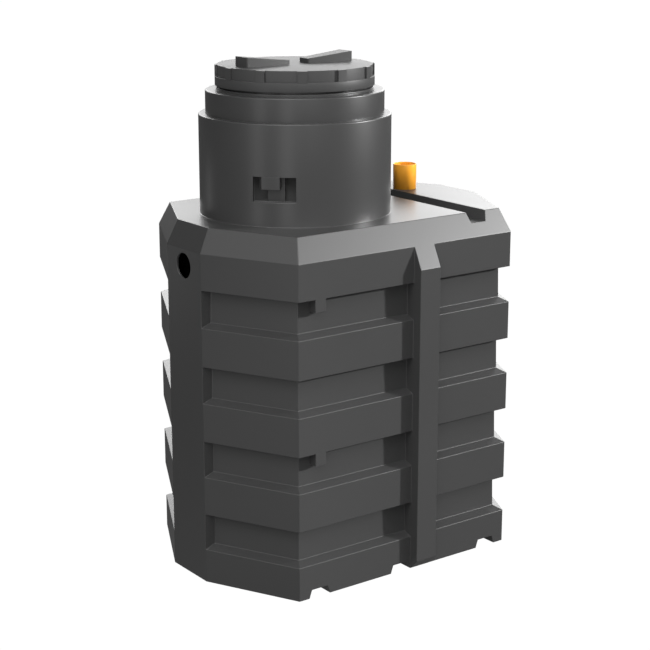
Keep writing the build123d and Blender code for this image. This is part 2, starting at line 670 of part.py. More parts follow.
for name, side in (("front_grip", -1), ("rear_grip", 1)):
    grip_plane = Plane(origin=(SHAFT_X, 0, LID_TOP), x_dir=(side, 0, 0), z_dir=(0, 0, 1))
    with BuildPart() as grip:
        with BuildSketch(grip_plane):
            with BuildLine():
                Polyline(
                    (GRIP_INNER_RADIUS, -GRIP_INNER_WIDTH / 2),
                    (GRIP_OUTER_RADIUS, -GRIP_OUTER_WIDTH / 2),
                    (GRIP_OUTER_RADIUS, GRIP_OUTER_WIDTH / 2),
                    (GRIP_INNER_RADIUS, GRIP_INNER_WIDTH / 2),
                    close=True,
                )
            make_face()
        extrude(amount=GRIP_OUTER_HEIGHT)
        with BuildSketch(Plane(origin=(SHAFT_X, 0, LID_TOP), x_dir=(side, 0, 0), z_dir=(0, -side, 0))):
            with BuildLine():
                Polyline(
                    (GRIP_INNER_RADIUS, 0),
                    (GRIP_OUTER_RADIUS, 0),
                    (GRIP_OUTER_RADIUS, GRIP_OUTER_HEIGHT),
                    (GRIP_INNER_RADIUS, GRIP_INNER_HEIGHT),
                    close=True,
                )
            make_face()
        extrude(amount=GRIP_OUTER_WIDTH, both=True, mode=Mode.INTERSECT)
        fillet(grip.edges().filter_by(Axis.Z), GRIP_CORNER)
        fillet(grip.faces().sort_by(Axis.Z)[-1].edges(), GRIP_EDGE)
    finish(grip, name)

for piece in finished:
    export_step(piece, "parts/" + piece.label + ".step")
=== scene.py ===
"""Dressed scene of the underground holding tank.

The tank body, the access shaft, the lock, the lid and the outlet pipe are modelled over the
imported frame, given their moulded plastic finishes, and shown on a pale floor in studio light.
"""

import logging
import math
from dataclasses import dataclass, field
from enum import Enum
from typing import Callable, Iterable, Sequence

import bmesh
import bpy
from mathutils import Matrix, Vector


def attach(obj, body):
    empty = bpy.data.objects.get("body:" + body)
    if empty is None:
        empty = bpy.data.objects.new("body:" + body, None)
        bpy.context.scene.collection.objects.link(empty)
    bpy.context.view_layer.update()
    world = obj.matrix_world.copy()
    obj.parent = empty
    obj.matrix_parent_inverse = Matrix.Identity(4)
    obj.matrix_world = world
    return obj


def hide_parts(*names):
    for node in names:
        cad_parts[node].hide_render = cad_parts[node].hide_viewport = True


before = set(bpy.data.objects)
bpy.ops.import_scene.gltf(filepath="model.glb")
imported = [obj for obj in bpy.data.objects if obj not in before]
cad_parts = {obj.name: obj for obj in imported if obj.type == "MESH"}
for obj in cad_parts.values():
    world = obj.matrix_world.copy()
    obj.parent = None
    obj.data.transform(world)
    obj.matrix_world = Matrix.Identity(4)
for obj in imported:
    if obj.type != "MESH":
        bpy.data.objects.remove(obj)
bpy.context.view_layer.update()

logging.basicConfig(level=logging.INFO, format="%(message)s")
LOG = logging.getLogger("tank")

Point = tuple[float, float]

MERGE_DISTANCE = 1e-5
PLACE_DIGITS = 6
FILLET_STEPS = 5
EASE_STEPS = 4
FULL_TURN = 360.0
RING_STEPS = 192
WIDE_HOLE_STEPS = 96
NARROW_HOLE_STEPS = 48
CREASE_ANGLE = 28.0
LOOSE_EDGE_ANGLE = 30.0
UPRIGHT = 0.99
SENSOR_WIDTH = 36.0
VIEW_REACH = 500.0


class Body(Enum):
    """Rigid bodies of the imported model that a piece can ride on."""

    TANK = "tank"
    LID = "lid"


class Slot(Enum):
    """Material slots of the record."""

    TANK = "tank_body"
    SHAFT = "shaft"
    LOCK = "lock"
    LID = "lid"
    PIPE = "outlet_pipe"


@dataclass(frozen=True)
class Wiring:
    """One node tree, with short ways to add math and texture nodes to it."""

    tree: bpy.types.NodeTree

    def link(self, source: bpy.types.NodeSocket, target: bpy.types.NodeSocket) -> None:
        """Join one node's output to another's input."""
        self.tree.links.new(source, target)

    def maths(self, operation: str, *values: bpy.types.NodeSocket | float) -> bpy.types.NodeSocket:
        """Add a math node.

        Args:
            operation: The node's operation.
            values: What goes into its sockets in order: other sockets, or plain numbers.

        Returns:
            The node's output.
        """
        node = self.tree.nodes.new("ShaderNodeMath")
        node.operation = operation
        for socket, value in zip(node.inputs, values):
            if isinstance(value, bpy.types.NodeSocket):
                self.link(value, socket)
            else:
                socket.default_value = value
        return node.outputs["Value"]

    def noise(
        self,
        place: bpy.types.NodeSocket,
        scale: bpy.types.NodeSocket,
        detail: float,
        roughness: float,
    ) -> bpy.types.NodeSocket:
        """Add a noise texture.

        Args:
            place: The coordinates that it reads.
            scale: The socket that sets its scale.
            detail: How many finer layers it has.
            roughness: How strong the finer layers are.

        Returns:
            The texture's value.
        """
        node = self.tree.nodes.new("ShaderNodeTexNoise")
        node.inputs["Detail"].default_value = detail
        node.inputs["Roughness"].default_value = roughness
        self.link(place, node.inputs["Vector"])
        self.link(scale, node.inputs["Scale"])
        return node.outputs["Fac"]

    def compare(
        self, operation: str, vector: bpy.types.NodeSocket, fixed: Vector
    ) -> bpy.types.NodeSocket:
        """Add a vector math node that puts out one number.

        Args:
            operation: The node's operation, such as DISTANCE or DOT_PRODUCT.
            vector: The socket with the vector that varies.
            fixed: The vector that it is compared with.

        Returns:
            The node's number.
        """
        node = self.tree.nodes.new("ShaderNodeVectorMath")
        node.operation = operation
        node.inputs[1].default_value = fixed
        self.link(vector, node.inputs[0])
        return node.outputs["Value"]


@dataclass(frozen=True)
class PlasticFinish:
    """Moulded plastic with a soft mottle in its colour and a fine skin texture."""

    name: str
    colour: tuple[float, float, float]
    roughness: float
    specular: float = 0.5
    mottle: float = 0.06
    roughness_spread: float = 0.04
    cloud_size: float = 0.35
    grain_size: float = 0.004
    grain_height: float = 0.00002

    def material(self) -> bpy.types.Material:
        """Build the material of this finish.

        Returns:
            The material, with the moulded skin group feeding its shader.
        """
        found = bpy.data.materials.get(self.name)
        if found is not None:
            return found
        material = bpy.data.materials.new(self.name)
        material.use_nodes = True
        nodes = material.node_tree.nodes
        links = material.node_tree.links
        shader = nodes["Principled BSDF"]
        shader.inputs["Specular IOR Level"].default_value = self.specular
        skin = nodes.new("ShaderNodeGroup")
        skin.node_tree = moulded_skin()
        for name, value in (
            ("Colour", (*self.colour, 1.0)),
            ("Roughness", self.roughness),
            ("Mottle", self.mottle),
            ("Roughness Spread", self.roughness_spread),
            ("Cloud Scale", 1.0 / self.cloud_size),
            ("Grain Scale", 1.0 / self.grain_size),
            ("Grain Height", self.grain_height),
        ):
            skin.inputs[name].default_value = value
        links.new(skin.outputs["Colour"], shader.inputs["Base Color"])
        links.new(skin.outputs["Roughness"], shader.inputs["Roughness"])
        links.new(skin.outputs["Normal"], shader.inputs["Normal"])
        return material


def moulded_skin() -> bpy.types.NodeTree:
    """Build the shader group that the moulded plastics share, once.

    Returns:
        The group, which puts out a mottled colour, a roughness and a normal.
    """
    found = bpy.data.node_groups.get("moulded_skin")
    if found is not None:
        return found
    group = bpy.data.node_groups.new("moulded_skin", "ShaderNodeTree")
    for side, kind, names in (
        ("INPUT", "NodeSocketColor", ("Colour",)),
        ("INPUT", "NodeSocketFloat", ("Roughness", "Mottle", "Roughness Spread")),
        ("INPUT", "NodeSocketFloat", ("Cloud Scale", "Grain Scale", "Grain Height")),
        ("OUTPUT", "NodeSocketColor", ("Colour",)),
        ("OUTPUT", "NodeSocketFloat", ("Roughness",)),
        ("OUTPUT", "NodeSocketVector", ("Normal",)),
    ):
        for name in names:
            group.interface.new_socket(name, in_out=side, socket_type=kind)
    wiring = Wiring(group)
    given = group.nodes.new("NodeGroupInput").outputs
    result = group.nodes.new("NodeGroupOutput").inputs
    place = group.nodes.new("ShaderNodeTexCoord").outputs["Object"]
    cloud = wiring.noise(place, given["Cloud Scale"], detail=4.0, roughness=0.55)
    grain = wiring.noise(place, given["Grain Scale"], detail=3.0, roughness=0.5)
    swing = wiring.maths("SUBTRACT", cloud, 0.5)
    fine_swing = wiring.maths("SUBTRACT", grain, 0.5)
    fine_mottle = wiring.maths("MULTIPLY", given["Mottle"], 0.5)
    shade = wiring.maths("ADD", wiring.maths("MULTIPLY", swing, given["Mottle"]), 1.0)
    shade = wiring.maths("ADD", shade, wiring.maths("MULTIPLY", fine_swing, fine_mottle))
    tint = group.nodes.new("ShaderNodeVectorMath")
    tint.operation = "SCALE"
    wiring.link(given["Colour"], tint.inputs[0])
    wiring.link(shade, tint.inputs["Scale"])
    gloss = given["Roughness"]
    for part in (swing, fine_swing):
        share = wiring.maths("MULTIPLY", part, given["Roughness Spread"])
        gloss = wiring.maths("ADD", gloss, share)
    bump = group.nodes.new("ShaderNodeBump")
    bump.inputs["Strength"].default_value = 1.0
    bump.inputs["Distance"].default_value = 1.0
    wiring.link(wiring.maths("MULTIPLY", grain, given["Grain Height"]), bump.inputs["Height"])
    wiring.link(tint.outputs["Vector"], result["Colour"])
    wiring.link(gloss, result["Roughness"])
    wiring.link(bump.outputs["Normal"], result["Normal"])
    return group


TANK_PLASTIC = PlasticFinish("tank_plastic", (0.0375, 0.0375, 0.0375), 0.34, specular=0.45)
SHAFT_PLASTIC = PlasticFinish("shaft_plastic", (0.0375, 0.0375, 0.0375), 0.34, specular=0.45)
LID_PLASTIC = PlasticFinish("lid_plastic", (0.044, 0.044, 0.044), 0.44, specular=0.35)
# Painted light: the lock plastic is a touch lighter than the shaft's, so that the pocket's shaded
# walls read brighter; its higher roughness is its own.
LOCK_PLASTIC_PAINTED_LIGHT = PlasticFinish("lock_plastic_painted_light", (0.040, 0.040, 0.040), 0.50, specular=0.45)
PIPE_PLASTIC = PlasticFinish(
    "pipe_plastic", (1.0, 0.42, 0.035), 0.3, mottle=0.05, roughness_spread=0.03
)


def settle_order(mesh: bmesh.types.BMesh) -> None:
    """Number a mesh's parts by where they lie, so that every run gives the same mesh.

    Args:
        mesh: The finished mesh of a piece.
    """
    for parts, key in (
        (mesh.verts, lambda vert: tuple(round(part, PLACE_DIGITS) for part in vert.co)),
        (mesh.edges, lambda edge: sorted(vert.index for vert in edge.verts)),
        (mesh.faces, lambda face: sorted(vert.index for vert in face.verts)),
    ):
        ranks = {part: rank for rank, part in enumerate(sorted(parts, key=key))}
        parts.sort(key=ranks.get)
        parts.index_update()


def add_to_scene(name: str, data: bpy.types.ID) -> bpy.types.Object:
    """Make an object of a camera, light or mesh and link it to the scene.

    Args:
        name: The object's name.
        data: What the object shows.

    Returns:
        The object.
    """
    made = bpy.data.objects.new(name, data)
    bpy.context.scene.collection.objects.link(made)
    return made


@dataclass
class Piece:
    """One visible piece: its mesh, where it rides, what it stands for and its finish."""

    name: str
    mesh: bmesh.types.BMesh
    body: Body
    slot: Slot
    finish: PlasticFinish
    stands_for: tuple[str, ...]
    wall: float = 0.0
    edge: float = 0.0
    edge_segments: int = 3
    edge_angle: float = 14.0
    smooth_angle: float = 180.0

    def place(self) -> bpy.types.Object:
        """Turn the mesh into an object, finish its edges and tie it to the frame.

        Returns:
            The new object, at the origin, with its place in its mesh.
        """
        data = bpy.data.meshes.new(self.name)
        settle_order(self.mesh)
        for face in self.mesh.faces:
            face.smooth = True
        self.mesh.to_mesh(data)
        self.mesh.free()
        data.set_sharp_from_angle(angle=math.radians(self.smooth_angle))
        piece = add_to_scene(self.name, data)
        if self.wall:
            thick = piece.modifiers.new("wall", "SOLIDIFY")
            thick.thickness = self.wall
            thick.offset = -1.0
            thick.use_even_offset = True
            thick.use_quality_normals = True
        if self.edge:
            round_over = piece.modifiers.new("edge", "BEVEL")
            round_over.width = self.edge
            round_over.segments = self.edge_segments
            round_over.profile = 0.5
            round_over.limit_method = "ANGLE"
            round_over.angle_limit = math.radians(self.edge_angle)
            round_over.harden_normals = True
            round_over.use_clamp_overlap = True
        data.materials.append(self.finish.material())
        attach(piece, self.body.value)
        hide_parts(*self.stands_for)
        nodes = ", ".join(self.stands_for)
        LOG.info("%s: %d faces, for %s", self.name, len(data.polygons), nodes)
        return piece


def wire_ring(mesh: bmesh.types.BMesh, points: Sequence[Vector]) -> list[bmesh.types.BMVert]:
    """Start a closed ring of edges.

    Args:
        mesh: The mesh to add the ring to.
        points: The ring's corners in order.

    Returns:
        The ring's vertices in order.
    """
    ring = [mesh.verts.new(point) for point in points]
    for first, second in zip(ring, ring[1:] + ring[:1]):
        mesh.edges.new((first, second))
    return ring


def lift_ring(
    mesh: bmesh.types.BMesh, ring: Sequence[bmesh.types.BMVert], points: Sequence[Vector]
) -> list[bmesh.types.BMVert]:
    """Extrude a closed ring and move the new ring to its own points.

    Args:
        mesh: The mesh that holds the ring.
        ring: The ring's vertices in order.
        points: Where the new ring's vertices go, in the same order.

    Returns:
        The new ring's vertices in order.
    """
    edges = [mesh.edges.get((first, second)) for first, second in zip(ring, [*ring[1:], ring[0]])]
    grown = bmesh.ops.extrude_edge_only(mesh, edges=edges)["geom"]
    fresh = {item for item in grown if isinstance(item, bmesh.types.BMVert)}
    lifted = []
    for vert, point in zip(ring, points):
        partner = next(e.other_vert(vert) for e in vert.link_edges if e.other_vert(vert) in fresh)
        partner.co = point
        lifted.append(partner)
    return lifted


def clean(mesh: bmesh.types.BMesh, flat: float = 0.4) -> None:
    """Merge doubled points, drop empty faces, join flat neighbours and face outwards.

    Args:
        mesh: The mesh to clean.
        flat: Neighbouring faces that meet within this many degrees are joined.
    """
    bmesh.ops.remove_doubles(mesh, verts=mesh.verts[:], dist=MERGE_DISTANCE)
    bmesh.ops.dissolve_degenerate(mesh, dist=MERGE_DISTANCE, edges=mesh.edges[:])
    if flat:
        bmesh.ops.dissolve_limit(
            mesh,
            angle_limit=math.radians(flat),
            use_dissolve_boundaries=False,
            verts=mesh.verts[:],
            edges=mesh.edges[:],
            delimit={"NORMAL"},
        )
    bmesh.ops.recalc_face_normals(mesh, faces=mesh.faces[:])


def fill_open_edges(mesh: bmesh.types.BMesh) -> None:
    """Close every hole that the mesh has, each with one face."""
    open_edges = [edge for edge in mesh.edges if edge.is_boundary]
    bmesh.ops.holes_fill(mesh, edges=open_edges, sides=0)


def cut_round_hole(
    mesh: bmesh.types.BMesh, face: bmesh.types.BMFace, place: Matrix, radius: float, steps: int
) -> None:
    """Replace a flat face by one with a round hole in it.

    Args:
        mesh: The mesh that holds the face.
        face: The flat face.
        place: Where the hole's centre is and which way its axis runs.
        radius: The hole's radius.
        steps: How many straight runs the hole's edge has.
    """
    outer = list(face.edges)
    normal = face.normal.copy()
    bmesh.ops.delete(mesh, geom=[face], context="FACES_ONLY")
    circle = bmesh.ops.create_circle(
        mesh, cap_ends=False, segments=steps, radius=radius, matrix=place
    )["verts"]
    inner = list(dict.fromkeys(edge for vert in circle for edge in vert.link_edges))
    bmesh.ops.triangle_fill(
        mesh, use_beauty=True, use_dissolve=False, edges=outer + inner, normal=normal
    )


def spin_profile(
    mesh: bmesh.types.BMesh,
    profile: Sequence[Point],
    centre: Point,
    start: float,
    sweep: float,
    steps: int,
    closed: bool = True,
) -> None:
    """Spin a profile about an upright axis.

    Args:
        mesh: The mesh to add to.
        profile: The profile as (radius, height) points in order.
        centre: The axis as (x, y).
        start: The angle of the first profile, in degrees from +X towards +Y.
        sweep: The angle that the profile covers, in degrees.
        steps: How many steps the sweep has.
        closed: Whether the profile's last point joins its first.
    """
    turn = Matrix.Rotation(math.radians(start), 4, "Z")
    shift = Vector((centre[0], centre[1], 0.0))
    verts = [
        mesh.verts.new(turn @ Vector((radius, 0.0, height)) + shift) for radius, height in profile
    ]
    pairs = list(zip(verts, verts[1:]))
    if closed:
        pairs.append((verts[-1], verts[0]))
    edges = [mesh.edges.new(pair) for pair in pairs]
    bmesh.ops.spin(
        mesh,
        geom=[*verts, *edges],
        cent=shift,
        axis=(0.0, 0.0, 1.0),
        dvec=(0.0, 0.0, 0.0),
        angle=math.radians(sweep),
        steps=steps,
        use_merge=math.isclose(sweep, FULL_TURN),
        use_normal_flip=False,
        use_duplicate=False,
    )


def spun_ring(
    profile: Sequence[Point], centre: Point, steps: int = RING_STEPS, closed: bool = True
) -> bmesh.types.BMesh:
    """Spin a profile once round an upright axis into a mesh of its own.

    Args:
        profile: The profile as (radius, height) points in order.
        centre: The axis as (x, y).
        steps: How many steps the full turn has.
        closed: Whether the profile's last point joins its first.

    Returns:
        The cleaned mesh.
    """
    mesh = bmesh.new()
    spin_profile(mesh, profile, centre, 0.0, FULL_TURN, steps, closed=closed)
    clean(mesh, flat=0)
    return mesh


def arc(centre: Point, radius: float, start: float, end: float, steps: int) -> list[Point]:
    """Return points on an arc of a profile.

    Args:
        centre: The arc's centre as (radius, height).
        radius: The arc's own radius.
        start: The first point's angle in degrees, 0 outwards and 90 up.
        end: The last point's angle in degrees.
        steps: How many steps the arc has.

    Returns:
        The points in order, both ends included.
    """
    turns = [math.radians(start + (end - start) * step / steps) for step in range(steps + 1)]
    return [
        (centre[0] + radius * math.cos(turn), centre[1] + radius * math.sin(turn)) for turn in turns
    ]


def add_block(
    mesh: bmesh.types.BMesh, low: Sequence[float], high: Sequence[float]
) -> list[bmesh.types.BMVert]:
    """Add an upright block between two corners.

    Args:
        mesh: The mesh to add to.
        low: The lowest corner.
        high: The highest corner.

    Returns:
        The block's vertices.
    """
    size = [top - bottom for bottom, top in zip(low, high)]
    middle = Vector([(top + bottom) / 2 for bottom, top in zip(low, high)])
    place = Matrix.Translation(middle) @ Matrix.Diagonal((*size, 1.0))
    return bmesh.ops.create_cube(mesh, size=1.0, matrix=place)["verts"]


@dataclass(frozen=True)
class Level:
    """One height of the tank's wall: how the outline is moved there."""

    height: float
    depth: float = 0.0
    inset: float = 0.0
    rib: float = 0.0
    foot_channel: float = 0.041
    deck_channel: float = 0.041


class RightCorner(Enum):
    """Places in the right side's outline where a channel's first corner stands."""

    FRONT_CHANNEL = 3
    MIDDLE_CHANNEL = 5
    REAR_CHANNEL = 11


@dataclass
class TankShell:
    """The moulded tank: banded walls, end pillars, buttresses, floor channels and deck."""

    half_length: float = 0.580
    half_width: float = 0.549
    end_reach: float = 0.787
    half_pillar: float = 0.133
    wall: float = 0.010
    shoulder_height: float = 1.471
    deck_height: float = 1.574
    shoulder_inset: float = 0.050
    groove_count: int = 4
    first_band_top: float = 0.152
    band_pitch: float = 0.333
    groove_opening: float = 0.162
    groove_foot_depth: float = 0.0425
    groove_top_depth: float = 0.0455
    ledge_rise: float = 0.018
    rib_front: float = 0.0265
    rib_rear: float = 0.1355
    rib_reach: float = 0.046
    channel_centres: tuple[float, float, float] = (-0.473, -0.0275, 0.473)
    channel_foot: float = 0.054
    channel_height: float = 0.037
    strap_x: float = 0.411
    strap_top: float = 0.055
    strap_depth: float = 0.044
    shaft_x: float = -0.205
    neck_radius: float = 0.305
    pipe_place: Point = (0.537, 0.150)
    pipe_bore: float = 0.0518
    inlet_height: float = 1.398
    inlet_radius: float = 0.055
    edge: float = 0.0022
    rings: list[list[bmesh.types.BMVert]] = field(default_factory=list)

    def slant(self) -> tuple[float, float]:
        """Find which way the front right slanted wall faces.

        Returns:
            The wall's inward direction as (x, y).
        """
        run, across = self.end_reach - self.half_length, self.half_width - self.half_pillar
        length = math.hypot(run, across)
        return across / length, run / length

    def levels(self) -> list[Level]:
        """List the wall's levels.

        Returns:
            The levels from the ground to the deck.
        """
        grade = (self.deck_height - self.shoulder_height) / self.shoulder_inset
        rib_top = self.shoulder_height - self.rib_reach * grade
        strap_floor = self.deck_height - self.strap_depth
        found = [
            Level(0.0, foot_channel=self.channel_foot),
            Level(self.channel_height, rib=self.channel_height),
            Level(self.rib_reach, rib=self.rib_reach),
        ]
        for number in range(self.groove_count):
            band_top = self.first_band_top + number * self.band_pitch
            groove_top = band_top + self.groove_opening
            found += [
                Level(band_top, rib=self.rib_reach),
                Level(band_top + self.ledge_rise, depth=self.groove_foot_depth, rib=self.rib_reach),
                Level(groove_top, depth=self.groove_top_depth, rib=self.rib_reach),
                Level(groove_top, rib=self.rib_reach),
            ]
        return found + [
            Level(rib_top, rib=self.rib_reach),
            Level(self.shoulder_height),
            Level(strap_floor, inset=(strap_floor - self.shoulder_height) / grade),
            Level(self.deck_height, inset=self.shoulder_inset, deck_channel=self.strap_top),
        ]

    def outline(self, level: Level) -> list[Vector]:
        """Draw the whole outline at one level, anticlockwise from above.

        Args:
            level: The level.

        Returns:
            The outline's points, from the front pillar along the right side and back.
        """
        slant_x, slant_y = self.slant()
        depth = level.depth + level.inset
        side_share = depth / (1 + slant_y)
        side_corner = (
            -self.half_length + side_share * slant_x,
            -self.half_width + side_share * (1 + slant_y),
        )
        end_share = level.inset / (1 + slant_x)
        pillar = (
            -self.end_reach + end_share * (1 + slant_x),
            -self.half_pillar + end_share * slant_y,
        )
        foot = pillar if level.inset else (pillar[0] + level.depth / slant_x, pillar[1])
        face = -self.half_width + depth
        rib_face = -self.half_width - level.rib if level.rib else face
        front, middle, rear = self.channel_centres
        if level.inset:
            rear_pair = (self.strap_x - level.deck_channel, self.strap_x + level.deck_channel)
        else:
            rear_pair = (rear - level.foot_channel, rear + level.foot_channel)
        right = [
            pillar,
            foot,
            side_corner,
            (front - level.foot_channel, face),
            (front + level.foot_channel, face),
            (middle - level.foot_channel, face),
            (middle + level.foot_channel, face),
            (self.rib_front, face),
            (self.rib_front, rib_face),
            (self.rib_rear, rib_face),
            (self.rib_rear, face),
            (rear_pair[0], face),
            (rear_pair[1], face),
            (-side_corner[0], side_corner[1]),
            (-foot[0], foot[1]),
            (-pillar[0], pillar[1]),
        ]
        left = [(x, -y) for x, y in reversed(right)]
        return [Vector((x, y, level.height)) for x, y in right + left]

    def open_channel(
        self, mesh: bmesh.types.BMesh, mouth: int, flat: int, corner: RightCorner
    ) -> None:
        """Cut one channel through both side walls and line it.

        Args:
            mesh: The tank's mesh.
            mouth: Index of the ring where the channel is open.
            flat: Index of the ring that carries the channel's flat.
            corner: Where the channel's first corner stands in the right side's outline.
        """
        first = corner.value
        last = len(self.rings[0]) - 1
        path = [(mouth, first), (flat, first), (flat, first + 1), (mouth, first + 1)]
        near = [self.rings[ring][point] for ring, point in path]
        far = [self.rings[ring][last - point] for ring, point in path]
        for corners in (near, far):
            face = next(f for f in corners[0].link_faces if all(c in f.verts for c in corners))
            bmesh.ops.delete(mesh, geom=[face], context="FACES_ONLY")
        for side in range(3):
            quad = [near[side], near[side + 1], far[side + 1], far[side]]
            bmesh.ops.contextual_create(mesh, geom=quad)

    def build(self) -> Piece:
        """Model the tank body as one moulding.

        Returns:
            The piece, which stands for every wall, the floor and the deck.
        """
        mesh = bmesh.new()
        levels = self.levels()
        self.rings = [wire_ring(mesh, self.outline(levels[0]))]
        for level in levels[1:]:
            self.rings.append(lift_ring(mesh, self.rings[-1], self.outline(level)))
        top = len(levels) - 1
        for corner in RightCorner:
            self.open_channel(mesh, 0, 1, corner)
        self.open_channel(mesh, top, top - 1, RightCorner.REAR_CHANNEL)
        bmesh.ops.remove_doubles(mesh, verts=mesh.verts[:], dist=MERGE_DISTANCE)
        fill_open_edges(mesh)
        clean(mesh)
        self.cut_openings(mesh)
        bmesh.ops.recalc_face_normals(mesh, faces=mesh.faces[:])
        return Piece(
            "tank_moulding",
            mesh,
            Body.TANK,
            Slot.TANK,
            TANK_PLASTIC,
            (
                "floor", "right_side_wall_front", "right_side_wall_rear", "left_side_wall_front",
                "left_side_wall_rear", "front_right_slant_wall", "front_left_slant_wall",
                "rear_right_slant_wall", "rear_left_slant_wall", "front_pillar",
                "front_pillar_cheeks", "rear_pillar", "rear_pillar_cheeks", "right_buttress",
                "right_buttress_cheeks", "left_buttress", "left_buttress_cheeks", "front_deck",
                "rear_deck", "strap_channel",
            ),
            wall=self.wall,
            edge=self.edge,
        )

    def cut_openings(self, mesh: bmesh.types.BMesh) -> None:
        """Cut the way in, the outlet and the inlet through the shell.

        Args:
            mesh: The tank's mesh, with each flat in one face.
        """
        above_strap = self.deck_height - self.strap_depth / 2
        deck = [
            f for f in mesh.faces
            if f.normal.z > UPRIGHT and f.calc_center_median().z > above_strap
        ]
        front_deck = min(deck, key=lambda f: f.calc_center_bounds().x)
        rear_deck = max(deck, key=lambda f: f.calc_center_bounds().x)
        ends = [f for f in mesh.faces if f.normal.x < -UPRIGHT]
        pillar = min(ends, key=lambda f: f.calc_center_bounds().x - f.calc_area())
        on_deck = Matrix.Translation((self.shaft_x, 0.0, self.deck_height))
        cut_round_hole(mesh, front_deck, on_deck, self.neck_radius, WIDE_HOLE_STEPS)
        on_deck = Matrix.Translation((*self.pipe_place, self.deck_height))
        cut_round_hole(mesh, rear_deck, on_deck, self.pipe_bore, NARROW_HOLE_STEPS)
        turn = Matrix.Rotation(math.radians(90.0), 4, "Y")
        on_pillar = Matrix.Translation((-self.end_reach, 0.0, self.inlet_height)) @ turn
        cut_round_hole(mesh, pillar, on_pillar, self.inlet_radius, NARROW_HOLE_STEPS)


@dataclass
class GrooveLugs:
    """Small blocks that hang in two of the grooves beside the front corners."""

    low_x: float = -0.494
    high_x: float = -0.440
    face: float = 0.549
    reach_in: float = 0.0465
    drop: float = 0.056
    root: float = 0.004
    groove_tops: tuple[float, float] = (0.647, 1.313)
    edge: float = 0.0025

    def build(self) -> list[Piece]:
        """Model the four lugs.

        Returns:
            One piece per lug.
        """
        pieces = []
        for height, place in zip(self.groove_tops, ("lower", "upper")):
            for side, name in ((-1, "right"), (1, "left")):
                mesh = bmesh.new()
                ends = sorted((side * self.face, side * (self.face - self.reach_in)))
                low = (self.low_x, ends[0], height - self.drop)
                high = (self.high_x, ends[1], height + self.root)
                add_block(mesh, low, high)
                node = f"{name}_{place}_lug"
                pieces.append(
                    Piece(
                        node + "_block", mesh, Body.TANK, Slot.TANK, TANK_PLASTIC, (node,),
                        edge=self.edge,
                    )
                )
        return pieces


@dataclass
class OutletPipe:
    """The short open drain pipe on the rear deck."""

    centre: Point = (0.537, 0.150)
    radius: float = 0.055
    wall: float = 0.0032
    foot: float = 1.574
    height: float = 0.117
    lip: float = 0.0012
    steps: int = 96

    def build(self) -> Piece:
        """Model the pipe as a spun tube with eased ends.

        Returns:
            The piece.
        """
        top = self.foot + self.height
        inner = self.radius - self.wall
        profile = [
            (self.radius, self.foot),
            *arc((self.radius - self.lip, top - self.lip), self.lip, 0, 90, EASE_STEPS),
            *arc((inner + self.lip, top - self.lip), self.lip, 90, 180, EASE_STEPS),
            (inner, self.foot),
        ]
        mesh = spun_ring(profile, self.centre, steps=self.steps)
        return Piece("outlet_stub", mesh, Body.TANK, Slot.PIPE, PIPE_PLASTIC, ("outlet_pipe",))


